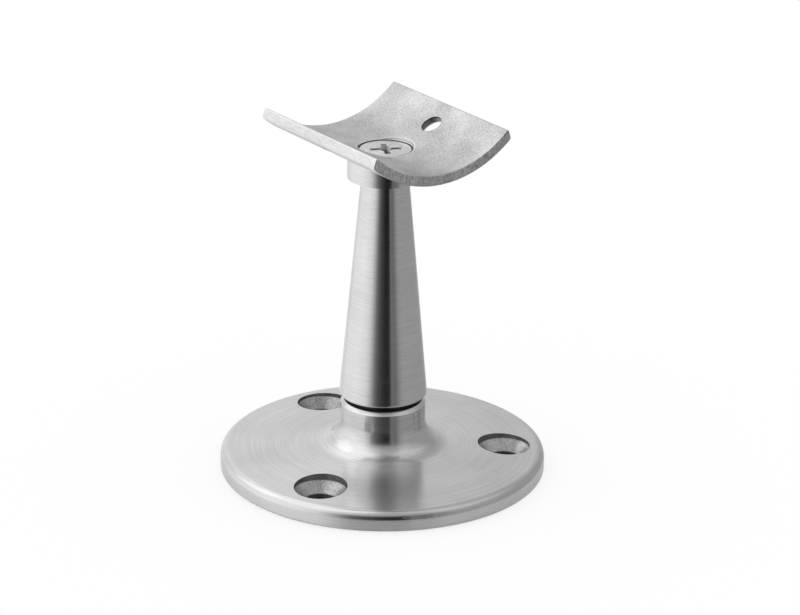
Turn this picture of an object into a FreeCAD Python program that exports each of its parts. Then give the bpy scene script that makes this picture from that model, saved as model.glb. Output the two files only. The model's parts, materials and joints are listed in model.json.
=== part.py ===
"""Handrail bracket in stainless steel: round base flange, tapered stem and curved rail saddle.

Frame: the origin is the centre of the flange's underside, +Z points up to the rail, and the rail
lies along X. All sizes are in millimetres and all angles in degrees.
"""
import FreeCAD, Part
import math
import os

# Base flange, turned from solid bar
flange_diameter = 70.0
rim_height = 4.2            # where the sloping top face would meet the rim
top_slope = 4.0             # rise of the top face towards the hub
rim_round = 1.7
foot_round = 0.5
hub_diameter = 18.3
hub_height = 15.6           # from the underside of the flange
hub_fillet = 5.5
hub_chamfer = 0.75

# Fixing holes in the flange, for countersunk screws into the wall or post
fixing_count = 3
fixing_circle_diameter = 52.5
fixing_turn = 54.7          # first hole, from the rail direction
fixing_hole_diameter = 6.5
fixing_head_diameter = 11.3
fixing_land = 1.4           # straight length of the hole under its countersink

# Tapered stem with a short neck that stands on the hub
neck_diameter = 14.8
neck_height = 1.2
stem_length = 49.0
stem_bottom_diameter = 18.9
stem_top_diameter = 10.1
stem_foot_round = 0.5

# Seat collar between the stem and the saddle plate
collar_diameter = 16.0
collar_height = 4.0         # at its middle, under the lowest line of the plate

# Saddle plate, rolled to the rail
rail_diameter = 48.3
plate_thickness = 2.2
saddle_length = 40.5
saddle_wrap = 87.8          # angle of the rail that the plate holds
side_lean = 19.0            # lean of the long side faces from vertical
inner_corner_round = 0.4
outer_corner_round = 0.8
end_edge_round = 0.3

# Holes for the screws that fix the rail from below, one in each wall of the saddle
rail_hole_diameter = 4.5
rail_hole_land = 1.3        # straight length of the hole over its countersink
rail_hole_angle = 29.5      # from the lowest line of the saddle

# Saddle screw: M6 countersunk, cross recess, from above
saddle_thread_diameter = 6.0
saddle_head_diameter = 11.0
saddle_screw_length = 16.0
saddle_head_sink = 0.1      # head below the lowest line of the saddle
cross_span = 6.5
cross_arm_width = 1.2
cross_depth = 3.0
cross_taper = 26.5          # of each arm's end, from the screw's axis
cross_core_diameter = 3.0
cross_turn = 63.0

# Base screw: M8 countersunk, hexagon socket, from below
base_thread_diameter = 8.0
base_head_diameter = 16.0
base_screw_length = 30.0
base_head_sink = 0.3        # head above the underside of the flange
socket_across_flats = 5.0
socket_depth = 3.0

# Both screws, their holes and the fits
head_land = 0.3             # short straight edge of a countersunk head
head_edge_round = 0.12
tip_chamfer = 0.8
thread_spare = 2.3          # tapped depth past the screw's tip
drill_point_angle = 118.0
shank_clearance = 0.3       # on the radius, in the holes that a screw passes through
thread_clearance = 0.05     # on the radius, in the tapped bores
mouth_clearance = 0.5       # on the radius, round a head in the straight mouth of its countersink
seat_gap = 0.02             # between faces that bear on each other

# Heights worked out from the sizes above
stem_foot_z = hub_height + neck_height
stem_top_z = stem_foot_z + stem_length
plate_underside_z = stem_top_z + collar_height
saddle_floor_z = plate_underside_z + plate_thickness
rail_radius = rail_diameter / 2
plate_outer_radius = rail_radius + plate_thickness
rail_axis_z = saddle_floor_z + rail_radius
saddle_screw_top_z = saddle_floor_z - saddle_head_sink
saddle_screw_tip_z = saddle_screw_top_z - saddle_screw_length
base_screw_tip_z = base_head_sink + base_screw_length

UP = FreeCAD.Vector(0, 0, 1)
ALONG_RAIL = FreeCAD.Vector(1, 0, 0)
PAST = 3.0                  # how far a cutting shape runs past the face that it cuts


def rounded_corner(before, corner, after, radius):
    """Start, middle and end of the arc that rounds a corner of an outline."""
    back = (before - corner).normalize()
    ahead = (after - corner).normalize()
    half_angle = back.getAngle(ahead) / 2
    inward = (back + ahead).normalize()
    reach = radius / math.tan(half_angle)
    middle = corner + inward * (radius / math.sin(half_angle) - radius)
    return corner + back * reach, middle, corner + ahead * reach


def turned(profile):
    """Solid of revolution about Z. Each corner is (radius, height) or (radius, height, round)."""
    corners = [FreeCAD.Vector(corner[0], 0, corner[1]) for corner in profile]
    edges = []
    last = corners[0]
    for index, corner in enumerate(profile[1:], start=1):
        point = corners[index]
        if len(corner) == 3:
            start, middle, end = rounded_corner(corners[index - 1], point, corners[index + 1], corner[2])
            edges.append(Part.makeLine(last, start))
            edges.append(Part.Arc(start, middle, end).toShape())
            last = end
        else:
            edges.append(Part.makeLine(last, point))
            last = point
    edges.append(Part.makeLine(last, corners[0]))
    return Part.Face(Part.Wire(edges)).revolve(FreeCAD.Vector(), UP, 360)


def countersunk_shape(thread_diameter, head_diameter, length, chamfer):
    """A countersunk screw's outer form, head up, with the head's flat face at height 0."""
    shank = thread_diameter / 2
    head = head_diameter / 2
    cone_end = -head_land - (head - shank)
    return turned([
        (0, 0),
        (head, 0, head_edge_round),
        (head, -head_land),
        (shank, cone_end),
        (shank, chamfer - length),
        (shank - chamfer, -length),
        (0, -length),
    ])


def countersunk_hole(thread_diameter, head_diameter, length):
    """The space for such a screw: clear hole, 90 degree countersink and its straight mouth."""
    shank = thread_diameter / 2 + shank_clearance
    seat = head_diameter / 2 + seat_gap
    mouth = head_diameter / 2 + mouth_clearance
    cone_top = mouth - seat - head_land
    return turned([
        (0, PAST),
        (mouth, PAST),
        (mouth, cone_top),
        (shank, cone_top - (mouth - shank)),
        (shank, -length),
        (0, -length),
    ])


def tapped_bore(thread_diameter, mouth_z, tip_z):
    """A blind tapped bore with the cone that the drill leaves, from its mouth past the screw's tip."""
    radius = thread_diameter / 2 + thread_clearance
    inward = math.copysign(1, tip_z - mouth_z)
    end_z = tip_z + inward * thread_spare
    point = radius / math.tan(math.radians(drill_point_angle / 2))
    return turned([
        (0, mouth_z - inward * PAST),
        (radius, mouth_z - inward * PAST),
        (radius, end_z),
        (0, end_z + inward * point),
    ])


def upside_down(shape, height):
    """Turn a shape over about X and lift it to this height."""
    shape.rotate(FreeCAD.Vector(), ALONG_RAIL, 180)
    shape.translate(UP * height)
    return shape


def flange_top(radius):
    """Height of the flange's sloping top face."""
    return rim_height + (flange_diameter / 2 - radius) * math.tan(math.radians(top_slope))


def base_flange():
    """Round flange whose top rises in a shallow cone and sweeps up into the hub."""
    rim = flange_diameter / 2
    hub = hub_diameter / 2
    flange = turned([
        (0, 0),
        (rim, 0, foot_round),
        (rim, rim_height, rim_round),
        (hub, flange_top(hub), hub_fillet),
        (hub, hub_height - hub_chamfer),
        (hub - hub_chamfer, hub_height),
        (0, hub_height),
    ])
    passage = countersunk_hole(base_thread_diameter, base_head_diameter, hub_height + PAST)
    flange = flange.cut(upside_down(passage, base_head_sink))
    for index in range(fixing_count):
        flange = flange.cut(fixing_hole(fixing_turn + index * 360 / fixing_count))
    return flange


def fixing_hole(angle):
    """Clearance hole with a 90 degree countersink sunk below the sloping face."""
    hole = fixing_hole_diameter / 2
    head = fixing_head_diameter / 2
    cone_top_z = fixing_land + head - hole
    space = turned([
        (0, -PAST),
        (hole, -PAST),
        (hole, fixing_land),
        (head, cone_top_z),
        (head, hub_height),
        (0, hub_height),
    ])
    space.translate(FreeCAD.Vector(fixing_circle_diameter / 2, 0, 0))
    space.rotate(FreeCAD.Vector(), UP, angle)
    return space


def tapered_stem():
    """Long cone on a recessed neck, tapped at both ends."""
    foot = stem_bottom_diameter / 2
    neck = neck_diameter / 2
    stem = turned([
        (0, hub_height + seat_gap),
        (neck, hub_height + seat_gap),
        (neck, stem_foot_z),
        (foot, stem_foot_z, stem_foot_round),
        (stem_top_diameter / 2, stem_top_z),
        (0, stem_top_z),
    ])
    stem = stem.cut(tapped_bore(base_thread_diameter, hub_height, base_screw_tip_z))
    return stem.cut(tapped_bore(saddle_thread_diameter, stem_top_z, saddle_screw_tip_z))


def saddle_screw_passage():
    """The hole and countersink that the plate and the collar share."""
    length = saddle_screw_top_z - stem_top_z + PAST
    passage = countersunk_hole(saddle_thread_diameter, saddle_head_diameter, length)
    passage.translate(UP * saddle_screw_top_z)
    return passage


def seat_collar():
    """Short collar, hollowed on top to the round of the plate's underside."""
    radius = collar_diameter / 2
    low_z = stem_top_z + seat_gap
    collar = Part.makeCylinder(radius, rail_axis_z - low_z, FreeCAD.Vector(0, 0, low_z), UP)
    start = FreeCAD.Vector(-collar_diameter, 0, rail_axis_z)
    plate_round = Part.makeCylinder(plate_outer_radius + seat_gap, 2 * collar_diameter, start, ALONG_RAIL)
    return collar.cut(plate_round).cut(saddle_screw_passage())


def on_saddle(radius, angle):
    """Point of the saddle's cross-section, by radius and angle from its lowest line."""
    turn = math.radians(angle)
    return FreeCAD.Vector(0, radius * math.sin(turn), rail_axis_z - radius * math.cos(turn))


def outer_corner(side):
    """Where the leaning side face, drawn from the inner corner, meets the plate's outside."""
    lean = math.radians(side_lean)
    inner = on_saddle(rail_radius, side * saddle_wrap / 2)
    down = FreeCAD.Vector(0, side * math.sin(lean), -math.cos(lean))
    along = (inner - FreeCAD.Vector(0, 0, rail_axis_z)).dot(down)
    reach = math.sqrt(along ** 2 + plate_outer_radius ** 2 - rail_radius ** 2) - along
    return inner + down * reach


def lengthways_edges(solid, radius):
    """The plate's corner edges that run along the rail at this radius from its axis."""
    def matches(edge):
        middle = edge.CenterOfMass
        straight = isinstance(edge.Curve, Part.Line) and abs(middle.x) < 1e-6
        return straight and abs(math.hypot(middle.y, middle.z - rail_axis_z) - radius) < 1e-6
    return [edge for edge in solid.Edges if matches(edge)]


def end_edges(solid):
    """All edges of the plate's two end faces."""
    def at_end(edge):
        return all(abs(abs(vertex.X) - saddle_length / 2) < 1e-6 for vertex in edge.Vertexes)
    return [edge for edge in solid.Edges if at_end(edge)]


def saddle_plate():
    """Rolled plate that the rail lies in, with its screw holes."""
    inner_low = on_saddle(rail_radius, 0)
    outer_low = on_saddle(plate_outer_radius, 0)
    inner_left = on_saddle(rail_radius, -saddle_wrap / 2)
    inner_right = on_saddle(rail_radius, saddle_wrap / 2)
    outer_left = outer_corner(-1)
    outer_right = outer_corner(1)
    outline = Part.Wire([
        Part.Arc(inner_left, inner_low, inner_right).toShape(),
        Part.makeLine(inner_right, outer_right),
        Part.Arc(outer_right, outer_low, outer_left).toShape(),
        Part.makeLine(outer_left, inner_left),
    ])
    section = Part.Face(outline)
    section.translate(ALONG_RAIL * (-saddle_length / 2))
    plate = section.extrude(ALONG_RAIL * saddle_length)
    plate = plate.makeFillet(outer_corner_round, lengthways_edges(plate, plate_outer_radius))
    plate = plate.makeFillet(inner_corner_round, lengthways_edges(plate, rail_radius))
    plate = plate.makeFillet(end_edge_round, end_edges(plate))
    for side in (-1, 1):
        plate = plate.cut(rail_screw_hole(side))
    return plate.cut(saddle_screw_passage())


def rail_screw_hole(side):
    """Clearance hole through one wall, square to the rail, with a 90 degree countersink outside."""
    hole = rail_hole_diameter / 2
    land_end = rail_radius + rail_hole_land
    outside = plate_outer_radius + PAST
    space = turned([
        (0, rail_radius - PAST),
        (hole, rail_radius - PAST),
        (hole, land_end),
        (hole + outside - land_end, outside),
        (0, outside),
    ])
    space.rotate(FreeCAD.Vector(), ALONG_RAIL, 180 + side * rail_hole_angle)
    space.translate(UP * rail_axis_z)
    return space


def cross_recess():
    """Cross recess, cut down from height 0: two tapering arms and a conical core."""
    top = cross_span / 2
    bottom = top - cross_depth * math.tan(math.radians(cross_taper))
    core = cross_core_diameter / 2
    corners = [(-top, 0), (top, 0), (bottom, -cross_depth), (-bottom, -cross_depth)]
    points = [FreeCAD.Vector(x, -cross_arm_width / 2, z) for x, z in corners]
    arm = Part.Face(Part.makePolygon(points + points[:1])).extrude(FreeCAD.Vector(0, cross_arm_width, 0))
    other_arm = arm.copy()
    other_arm.rotate(FreeCAD.Vector(), UP, 90)
    well = turned([(0, 0), (core, 0), (cross_arm_width / 2, -cross_depth), (0, -cross_depth)])
    recess = arm.fuse([other_arm, well])
    recess.rotate(FreeCAD.Vector(), UP, cross_turn)
    return recess


def saddle_screw():
    """M6 countersunk screw that pulls the saddle down on the stem."""
    screw = countersunk_shape(saddle_thread_diameter, saddle_head_diameter, saddle_screw_length, tip_chamfer)
    screw = screw.cut(cross_recess())
    screw.translate(UP * saddle_screw_top_z)
    return screw


def base_screw():
    """M8 countersunk socket screw that holds the stem on the flange."""
    screw = countersunk_shape(base_thread_diameter, base_head_diameter, base_screw_length, tip_chamfer)
    corner_radius = socket_across_flats / 2 / math.cos(math.radians(30))
    corners = [math.radians(60 * index) for index in range(7)]
    points = [FreeCAD.Vector(corner_radius * math.cos(a), corner_radius * math.sin(a), 0) for a in corners]
    socket = Part.Face(Part.makePolygon(points)).extrude(UP * -socket_depth)
    return upside_down(screw.cut(socket), base_head_sink)


pieces = {
    "base_flange": base_flange(),
    "tapered_stem": tapered_stem(),
    "seat_collar": seat_collar(),
    "saddle_plate": saddle_plate(),
    "saddle_screw": saddle_screw(),
    "base_screw": base_screw(),
}

os.makedirs("parts", exist_ok=True)
for name, shape in pieces.items():
    shape.exportStep(f"parts/{name}.step")
    box = shape.BoundBox
    size = f"{box.XLength:.2f} x {box.YLength:.2f} x {box.ZLength:.2f}"
    print(f"{name}: {len(shape.Solids)} solid, valid {shape.isValid()}, {shape.Volume:.0f} mm3, {size} mm")
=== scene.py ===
import json
import math

import bpy
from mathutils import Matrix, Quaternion, Vector


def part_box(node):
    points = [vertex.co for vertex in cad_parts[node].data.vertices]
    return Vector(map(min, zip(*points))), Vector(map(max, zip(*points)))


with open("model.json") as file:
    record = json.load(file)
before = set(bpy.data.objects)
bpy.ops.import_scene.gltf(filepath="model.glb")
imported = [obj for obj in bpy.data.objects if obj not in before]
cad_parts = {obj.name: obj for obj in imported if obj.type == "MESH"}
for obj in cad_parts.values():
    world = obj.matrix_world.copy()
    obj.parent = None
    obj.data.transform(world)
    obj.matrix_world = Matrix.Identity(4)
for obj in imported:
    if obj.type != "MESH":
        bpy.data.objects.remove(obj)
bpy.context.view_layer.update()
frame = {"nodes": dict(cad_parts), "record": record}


# ---- Base flange ----------------------------------------------------------------------------------
# The round foot that is screwed to the floor: one disc of stainless steel with a hollow hub.
# It is turned on a lathe and left satin, so fine rings run round its axis from the hub to the rim.
# Its three screw holes are countersunk by a rough drill and left grainy. Their straight walls are painted
# dark as shade, and the foot of each countersink darker still. The hub's top under the stem is painted
# dark as shade too.

def add(tree, kind, **settings):
    """A new node of that kind, with its settings."""
    made = tree.nodes.new("ShaderNode" + kind)
    for name, value in settings.items():
        setattr(made, name, value)
    return made


def fill(tree, made, *values):
    """Gives a node's inputs, in their order, a link or a fixed value, and returns its first output."""
    for socket, value in zip(made.inputs, values):
        if isinstance(value, bpy.types.NodeSocket):
            tree.links.new(value, socket)
        elif value is not None:
            socket.default_value = value
    return made.outputs[0]


def number(tree, operation, *values):
    """The result of one step of arithmetic."""
    return fill(tree, add(tree, "Math", operation=operation), *values)


def vector(tree, operation, *values):
    """The result of one step of vector arithmetic, a number where the operation gives one."""
    made = add(tree, "VectorMath", operation=operation)
    first = fill(tree, made, *values)
    return made.outputs["Value"] if operation in ("LENGTH", "DISTANCE") else first


def spread(tree, value, low, high, start, end):
    """A value spread over low to high as it goes from start to end, and held there past them."""
    return fill(tree, add(tree, "MapRange"), value, start, end, low, high)


def within(tree, value, limit, soft):
    """A mask that is 1 below the limit and 0 above it, with a soft edge of that half width."""
    return spread(tree, value, 1.0, 0.0, limit - soft, limit + soft)


def beyond(tree, value, limit, soft):
    """A mask that is 0 below the limit and 1 above it, with a soft edge of that half width."""
    return spread(tree, value, 0.0, 1.0, limit - soft, limit + soft)


def noise(tree, place, scale=1.0, detail=2.0):
    """Smooth noise from 0 to 1 with about that many swings in a unit of its place."""
    made = add(tree, "TexNoise")
    fill(tree, made, place, None, scale, detail)
    return made.outputs["Fac"]


def parts_of(tree, place):
    """The x, y and z of a place."""
    split = add(tree, "SeparateXYZ")
    tree.links.new(place, split.inputs[0])
    return split.outputs


def grey_of(tree, value):
    """A grey of that brightness."""
    return fill(tree, add(tree, "CombineColor"), value, value, value)


def steel(name, node_name):
    """A new steel material in the slots of a piece, as its tree and the place on the piece."""
    material = bpy.data.materials.new(name)
    material.use_nodes = True
    material.node_tree.nodes["Principled BSDF"].inputs["Metallic"].default_value = 1.0
    for slot in frame["nodes"][node_name].material_slots:
        slot.link = "OBJECT"
        slot.material = material
    return material.node_tree, add(material.node_tree, "TexCoord").outputs["Object"]


def round_the_axis(tree, place):
    """For a place: its distance from the upright axis, and the way out from the axis to it."""
    flat = vector(tree, "MULTIPLY", place, (1, 1, 0))
    return vector(tree, "LENGTH", flat), vector(tree, "NORMALIZE", flat)


def look_of(tree, pattern, cloud, grey, swing, roughness, gloss_swing, depth):
    """The tone, the gloss and the depth that a pattern and slow clouds of wear give to steel."""
    shade = spread(tree, number(tree, "ADD", pattern, cloud), grey - swing, grey + swing, start=0.7, end=1.3)
    dull, bright = roughness + gloss_swing, roughness - gloss_swing
    gloss = spread(tree, cloud, bright, dull, start=0.3, end=0.7)
    return {"shade": shade, "roughness": gloss, "depth": depth}


def turned(tree, place, grey, roughness, swing, rings):
    """The look of turned steel. Rings are (pitch, depth) in metres, and the last ones tint it too."""
    swings_round = 1.6
    clouds_a_metre = 70.0
    radius, outward = round_the_axis(tree, place)
    along = number(tree, "SUBTRACT", radius, parts_of(tree, place)["Z"])
    turn = (swings_round, swings_round, 0)
    depth_here = 0.0
    for pitch, depth in rings:
        line = fill(tree, add(tree, "CombineXYZ"), 0.0, 0.0, number(tree, "DIVIDE", along, pitch))
        ring = noise(tree, vector(tree, "MULTIPLY_ADD", outward, turn, line))
        depth_here = number(tree, "MULTIPLY_ADD", ring, depth, depth_here)
    cloud = noise(tree, place, clouds_a_metre, detail=3.0)
    return look_of(tree, ring, cloud, grey, swing, roughness, gloss_swing=0.03, depth=depth_here)


def grainy(tree, place, grey, roughness, swing, grain, depth):
    """The look of blasted or roughly cut steel, with grains of that size and depth in metres."""
    clouds_a_metre = 110.0
    fine = noise(tree, place, 1 / grain, detail=3.0)
    cloud = noise(tree, place, clouds_a_metre, detail=3.0)
    depth_here = number(tree, "MULTIPLY", fine, depth)
    return look_of(tree, fine, cloud, grey, swing, roughness, gloss_swing=0.05, depth=depth_here)


def where(tree, mask, inside, outside):
    """One look where a mask is 1 and another where it is 0."""
    mixed = {}
    for part in inside:
        mixed[part] = fill(tree, add(tree, "Mix"), mask, None, outside[part], inside[part])
    return mixed


def finish(tree, look, place=None, stretch=0.0):
    """Puts a look on the shader, with its gloss drawn out across the rings by that much."""
    shader = tree.nodes["Principled BSDF"]
    tree.links.new(grey_of(tree, look["shade"]), shader.inputs["Base Color"])
    tree.links.new(look["roughness"], shader.inputs["Roughness"])
    bump = add(tree, "Bump")
    bump.inputs["Distance"].default_value = 1.0
    tree.links.new(look["depth"], bump.inputs["Height"])
    tree.links.new(bump.outputs["Normal"], shader.inputs["Normal"])
    if stretch:
        outward = round_the_axis(tree, place)[1]
        tree.links.new(vector(tree, "CROSS_PRODUCT", (0, 0, 1), outward), shader.inputs["Tangent"])
        shader.inputs["Anisotropic"].default_value = stretch
        shader.inputs["Anisotropic Rotation"].default_value = 0.25


mounts = {mount["name"]: mount for mount in frame["record"]["mounts"]}
fixing = mounts["fixing_holes"]["dims"]
fixing_circle_radius = fixing["pcd_mm"] / 2000
fixing_bore_radius = fixing["hole_r_mm"] / 1000
# The first hole stands this many degrees round from +x. The radius is just past the straight
# wall over a countersink.
fixing_bearing = 54.7
countersink_radius = 0.00567
hub_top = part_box("base_flange")[1].z

tree, place = steel("flange_satin", "base_flange")
height = parts_of(tree, place)["Z"]
flat = vector(tree, "MULTIPLY", place, (1, 1, 0))
from_hole = 1.0
for index in range(fixing["count"]):
    angle = math.radians(fixing_bearing + index * 360 / fixing["count"])
    centre = (fixing_circle_radius * math.cos(angle), fixing_circle_radius * math.sin(angle), 0)
    from_hole = number(tree, "MINIMUM", from_hole, vector(tree, "DISTANCE", flat, centre))
above_foot = beyond(tree, height, 0.00004, soft=0.00002)
in_circle = within(tree, from_hole, countersink_radius - 0.000005, soft=0.000005)
in_hole = number(tree, "MULTIPLY", in_circle, above_foot)
# Masks for painted shade: the countersinks' straight walls, their feet round the bore, and the hub's top.
on_wall = beyond(tree, from_hole, countersink_radius - 0.00012, soft=0.00002)
in_bore = within(tree, from_hole, fixing_bore_radius + 0.00015, soft=0.00005)
in_groove = beyond(tree, height, hub_top - 0.00005, soft=0.00003)

face = turned(tree, place, grey=0.74, roughness=0.19, swing=0.07,
              rings=[(0.0009, 0.000005), (0.00034, 0.00001)])
cone = grainy(tree, place, grey=0.48, roughness=0.34, swing=0.24, grain=0.00035, depth=0.00008)
# Painted shade: dark on the countersinks' walls, darker round the bores, and dark on the hub's top.
wall_shade = grainy(tree, place, grey=0.24, roughness=0.4, swing=0.1, grain=0.0004, depth=0.00002)
bore_shade = grainy(tree, place, grey=0.08, roughness=0.5, swing=0.05, grain=0.0004, depth=0.00002)
groove_shade = grainy(tree, place, grey=0.12, roughness=0.5, swing=0.05, grain=0.0004, depth=0.00001)
hole = where(tree, in_bore, bore_shade, where(tree, on_wall, wall_shade, cone))
flange = where(tree, in_groove, groove_shade, where(tree, in_hole, hole, face))
finish(tree, flange, place, stretch=0.75)


# ---- Base screw -----------------------------------------------------------------------------------
# The countersunk machine screw that comes up through the flange's hub and holds the stem on it.
# It is plain stainless steel, turned, with a socket in its head, and shows from below only.

tree, place = steel("base_screw_steel", "base_screw")
screw = turned(tree, place, grey=0.66, roughness=0.3, swing=0.05, rings=[(0.0004, 0.00001)])
finish(tree, screw, place, stretch=0.6)


# ---- Tapered stem ---------------------------------------------------------------------------------
# The upright between the flange and the saddle: one bar of stainless steel, turned to a long cone.
# It is finished finer than the flange, so it mirrors the room in tall upright bands. The neck under
# it is painted dark as shade.

neck_height = 0.0012

tree, place = steel("stem_satin", "tapered_stem")
# The neck below the cone is painted dark as shade.
below_cone = within(tree, parts_of(tree, place)["Z"], hub_top + neck_height + 0.0001, soft=0.00005)
stem = turned(tree, place, grey=0.74, roughness=0.2, swing=0.06, rings=[(0.00026, 0.000004)])
neck_shade = grainy(tree, place, grey=0.12, roughness=0.5, swing=0.05, grain=0.0004, depth=0.00001)
finish(tree, where(tree, below_cone, neck_shade, stem), place, stretch=0.75)


# ---- Seat collar ----------------------------------------------------------------------------------
# The short ring between the stem and the saddle. Its top is hollowed to the saddle's underside.
# It is turned and left satin like the stem.

tree, place = steel("collar_satin", "seat_collar")
collar = turned(tree, place, grey=0.74, roughness=0.24, swing=0.06, rings=[(0.00028, 0.000006)])
finish(tree, collar, place, stretch=0.75)


# ---- Saddle plate ---------------------------------------------------------------------------------
# The curved plate that the handrail lies in: stainless steel sheet, cut and pressed to the tube's
# round. It is blasted matt, so it has an even grain, with brighter long edges and a painted highlight
# round the screw's mouth. Its sawn ends are scored. The two rail screw holes and the gap between the
# screw's head and the mouth's wall are painted dark as shade.

half_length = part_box("saddle_plate")[1].x
half_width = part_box("saddle_plate")[1].y
saddle_floor = mounts["rail_seat"]["pos_m"][2]
head_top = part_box("saddle_screw")[1].z
rail_radius = 0.02415
mouth_radius = 0.006
rail_hole = mounts["rail_screw_hole_right"]
rail_hole_radius = rail_hole["dims"]["r_mm"] / 1000

tree, place = steel("saddle_blasted", "saddle_plate")
height = parts_of(tree, place)["Z"]
along_rail = number(tree, "ABSOLUTE", parts_of(tree, place)["X"])
across_rail = number(tree, "ABSOLUTE", parts_of(tree, place)["Y"])
at_end = beyond(tree, along_rail, half_length - 0.00015, soft=0.00005)
at_side = beyond(tree, across_rail, half_width - 0.0008, soft=0.0001)

rail_axis = (0, 0, saddle_floor + rail_radius)
from_axis = vector(tree, "MULTIPLY", vector(tree, "SUBTRACT", place, rail_axis), (0, 1, 1))
near_rail = within(tree, vector(tree, "LENGTH", from_axis), rail_radius + 0.0003, soft=0.0001)

from_screw = round_the_axis(tree, place)[0]
# The wall of the mouth beside the screw's head is painted dark as shade.
in_gap = within(tree, height, head_top + 0.0001, soft=0.00005)
in_mouth = within(tree, from_screw, mouth_radius + 0.00004, soft=0.00002)
gap_shade_mask = number(tree, "MULTIPLY", in_mouth, in_gap)
# A thin ring round the mouth is painted bright as a highlight.
mouth_highlight_mask = within(tree, from_screw, mouth_radius + 0.00021, soft=0.00003)

one_half = fill(tree, add(tree, "CombineXYZ"), along_rail, across_rail, height)
from_rail_hole = vector(tree, "SUBTRACT", one_half, rail_hole["pos_m"])
from_rail_hole = vector(tree, "LENGTH", vector(tree, "CROSS_PRODUCT", from_rail_hole, rail_hole["axis"]))
# The rail screw holes are painted dark as shade, darker near the rail.
in_rail_hole = within(tree, from_rail_hole, rail_hole_radius + 0.00004, soft=0.00002)
in_shade = number(tree, "MULTIPLY", in_rail_hole, near_rail)

drawn_down = vector(tree, "MULTIPLY", place, (1, 1, 0.6))
drawn_along = vector(tree, "MULTIPLY", place, (0.25, 1, 1))
plate = grainy(tree, place, grey=0.6, roughness=0.36, swing=0.2, grain=0.00035, depth=0.00006)
ends = grainy(tree, drawn_down, grey=0.6, roughness=0.4, swing=0.26, grain=0.0004, depth=0.00008)
sides = grainy(tree, drawn_along, grey=0.82, roughness=0.36, swing=0.12, grain=0.0004, depth=0.00003)
# A painted highlight round the mouth, and painted shade in the rail screw holes and the gap under the mouth.
mouth_highlight = grainy(tree, place, grey=0.95, roughness=0.36, swing=0.05, grain=0.0004, depth=0.00002)
bore_shade = grainy(tree, place, grey=0.3, roughness=0.4, swing=0.1, grain=0.0004, depth=0.00002)
deep_shade = grainy(tree, place, grey=0.08, roughness=0.4, swing=0.05, grain=0.0004, depth=0.00002)
plate = where(tree, mouth_highlight_mask, mouth_highlight, where(tree, at_side, sides, plate))
plate = where(tree, in_rail_hole, bore_shade, plate)
plate = where(tree, number(tree, "MAXIMUM", gap_shade_mask, in_shade), deep_shade, plate)
finish(tree, where(tree, at_end, ends, plate))


# ---- Saddle screw ---------------------------------------------------------------------------------
# The countersunk cross-head screw that holds the saddle and the collar on the stem.
# Its head is turned flat, with rings round the cross, and the cross is pressed in and left rough; the
# bottom of the cross is painted dark as shade.

tree, place = steel("saddle_screw_steel", "saddle_screw")
height = parts_of(tree, place)["Z"]
in_cross = within(tree, height, head_top - 0.00015, soft=0.00005)
# The bottom of the cross is painted dark as shade.
in_pit = within(tree, height, head_top - 0.0011, soft=0.0003)
head = turned(tree, place, grey=0.81, roughness=0.32, swing=0.2, rings=[(0.0006, 0.00002)])
cross = grainy(tree, place, grey=0.75, roughness=0.4, swing=0.1, grain=0.0004, depth=0.00002)
pit_shade = grainy(tree, place, grey=0.3, roughness=0.4, swing=0.1, grain=0.0004, depth=0.00002)
head = where(tree, in_pit, pit_shade, where(tree, in_cross, cross, head))
finish(tree, head, place, stretch=0.6)


# ---- Studio ---------------------------------------------------------------------------------------
# A pale floor and a soft studio round the bracket: a bright left side, a dimmer right side, and the
# dark of the room where the camera stands. The steel alone mirrors that room, and a small floor of
# its own. The camera sees plain white behind the bracket.

def round_the_bracket(bearing, reach, height):
    """The point at that bearing, in degrees from the -y side toward +x, that far out and up."""
    turn = math.radians(bearing)
    return Vector((reach * math.sin(turn), -reach * math.cos(turn), height))


camera_bearing = 53.83
camera_elevation = math.radians(21.4)
camera_distance = 0.7077
camera_roll = 0.0121
aim = Vector((0.0024, 0.0025, 0.0365))

toward_camera = round_the_bracket(camera_bearing, math.cos(camera_elevation), math.sin(camera_elevation))
camera = bpy.data.objects.new("camera", bpy.data.cameras.new("camera"))
bpy.context.scene.collection.objects.link(camera)
camera.location = aim + toward_camera * camera_distance
camera.rotation_mode = "QUATERNION"
level_view = (-toward_camera).to_track_quat("-Z", "Y")
camera.rotation_quaternion = level_view @ Quaternion((0, 0, 1), camera_roll)
camera.data.sensor_width = 36
camera.data.lens = 149.7
camera.data.clip_start = 0.01
camera.data.clip_end = 20
bpy.context.scene.camera = camera


def floor_disc(name, radius, depth):
    """A round floor that far under the bracket, and the empty tree of its paint."""
    bpy.ops.object.select_all(action="DESELECT")
    middle = (0, 0, -depth)
    bpy.ops.mesh.primitive_circle_add(vertices=96, radius=radius, fill_type="NGON", location=middle)
    disc = bpy.context.object
    disc.name = name
    paint = bpy.data.materials.new(name + "_paint")
    paint.use_nodes = True
    paint.node_tree.nodes.clear()
    disc.data.materials.append(paint)
    return disc, paint.node_tree


def paint_floor(tree, albedo, share, other):
    """A matt paint of that albedo, with a share of another shader mixed in."""
    matt = fill(tree, add(tree, "BsdfDiffuse"), (albedo, albedo, albedo, 1))
    mixed = fill(tree, add(tree, "MixShader"), share, matt, add(tree, other).outputs[0])
    tree.links.new(mixed, add(tree, "OutputMaterial").inputs["Surface"])


# The floor that shows is lifted toward white for the camera alone, and the steel doesn't mirror it.
floor, tree = floor_disc("floor", radius=1.5, depth=0.0002)
lifted = number(tree, "MULTIPLY", add(tree, "LightPath").outputs["Is Camera Ray"], 0.75)
paint_floor(tree, albedo=1.0, share=lifted, other="Emission")
floor.visible_glossy = False

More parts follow.
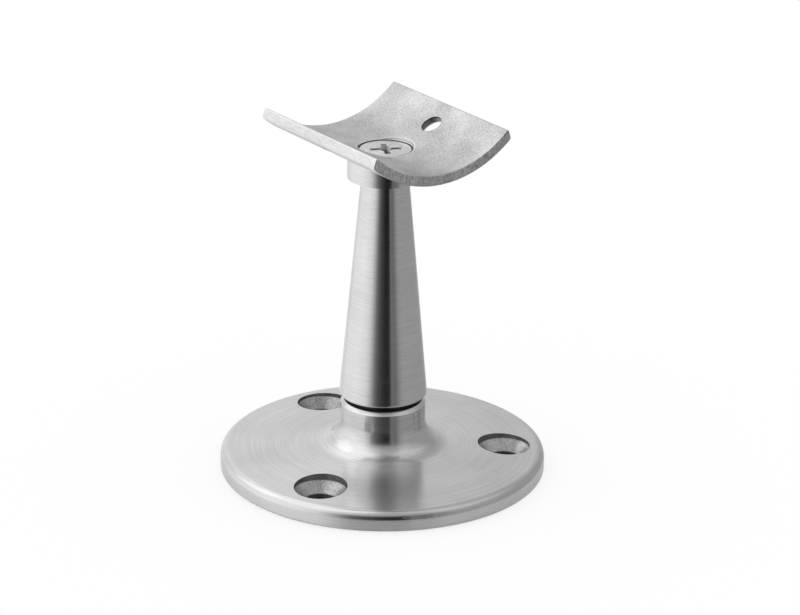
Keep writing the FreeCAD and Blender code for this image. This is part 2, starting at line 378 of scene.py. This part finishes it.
# The floor that the steel does mirror is small and partly clear, and shows nowhere else.
mirrored_floor, tree = floor_disc("mirrored_floor", radius=0.0418, depth=0.0001)
paint_floor(tree, albedo=0.75, share=0.4, other="BsdfTransparent")
mirrored_floor.visible_camera = False
mirrored_floor.visible_diffuse = False
mirrored_floor.visible_shadow = False

softbox = bpy.data.objects.new("softbox", bpy.data.lights.new("softbox", "AREA"))
bpy.context.scene.collection.objects.link(softbox)
softbox.data.size = 0.5
softbox.data.energy = 0.17
softbox.location = round_the_bracket(camera_bearing - 110, reach=0.7, height=0.55)
softbox.rotation_mode = "QUATERNION"
softbox.rotation_quaternion = (-softbox.location).to_track_quat("-Z", "Y")

# What the steel mirrors of the room, as degrees round from the camera, to the right, and a
# brightness. The walls give way to the ceiling between the two elevations, also in degrees.
room_light = 1.13
walls = [
    (-180, 0.66), (-160, 0.77), (-145, 0.70), (-125, 0.86), (-76, 0.90), (-53, 0.80),
    (-43, 0.69), (-33, 0.43), (-23, 0.15), (-13, 0.06), (-3, 0.025), (5, 0.006),
    (19, 0.006), (22, 0.16), (27, 0.16), (33, 0.12), (40, 0.20), (47, 0.28),
    (57, 0.325), (145, 0.32), (165, 0.43), (180, 0.59),
]
ceiling = [
    (-180, 0.60), (-165, 1.0), (-60, 1.0), (-20, 0.55), (0, 0.40),
    (35, 0.38), (65, 0.60), (110, 0.55), (145, 0.40), (165, 0.36), (180, 0.50),
]
wall_top = 20
ceiling_edge = 60

world = bpy.data.worlds.new("studio")
bpy.context.scene.world = world
world.use_nodes = True
tree = world.node_tree
tree.nodes.clear()
direction = add(tree, "TexCoord").outputs["Generated"]
facing = add(tree, "VectorRotate", rotation_type="Z_AXIS")
facing.inputs["Angle"].default_value = math.radians(90 - camera_bearing)
tree.links.new(direction, facing.inputs["Vector"])
compass = add(tree, "TexGradient", gradient_type="RADIAL")
tree.links.new(facing.outputs[0], compass.inputs["Vector"])


def around_the_room(stops):
    """The brightness all round the room, from its stops."""
    ring = add(tree, "ValToRGB")
    tree.links.new(compass.outputs["Fac"], ring.inputs["Fac"])
    elements = ring.color_ramp.elements
    elements.remove(elements[1])
    for index, (angle, brightness) in enumerate(stops):
        position = angle / 360 + 0.5
        stop = elements[0] if index == 0 else elements.new(position)
        stop.position = position
        stop.color = (brightness, brightness, brightness, 1)
    return ring.outputs["Color"]


high = add(tree, "MapRange", interpolation_type="SMOOTHSTEP")
low_sine = math.sin(math.radians(wall_top))
high_sine = math.sin(math.radians(ceiling_edge))
fill(tree, high, parts_of(tree, direction)["Z"], low_sine, high_sine)
lower_and_upper = add(tree, "Mix", data_type="RGBA")
tree.links.new(high.outputs[0], lower_and_upper.inputs["Factor"])
tree.links.new(around_the_room(walls), lower_and_upper.inputs["A"])
tree.links.new(around_the_room(ceiling), lower_and_upper.inputs["B"])

path = add(tree, "LightPath").outputs
white = fill(tree, add(tree, "Background"), (1, 1, 1, 1), 1.0)
room = fill(tree, add(tree, "Background"), lower_and_upper.outputs["Result"], room_light)
lit = fill(tree, add(tree, "MixShader"), path["Is Glossy Ray"], white, room)
seen = number(tree, "MAXIMUM", path["Is Camera Ray"], path["Is Transmission Ray"])
shown = fill(tree, add(tree, "MixShader"), seen, lit, white)
tree.links.new(shown, add(tree, "OutputWorld").inputs["Surface"])

bpy.context.scene.view_settings.view_transform = "Standard"
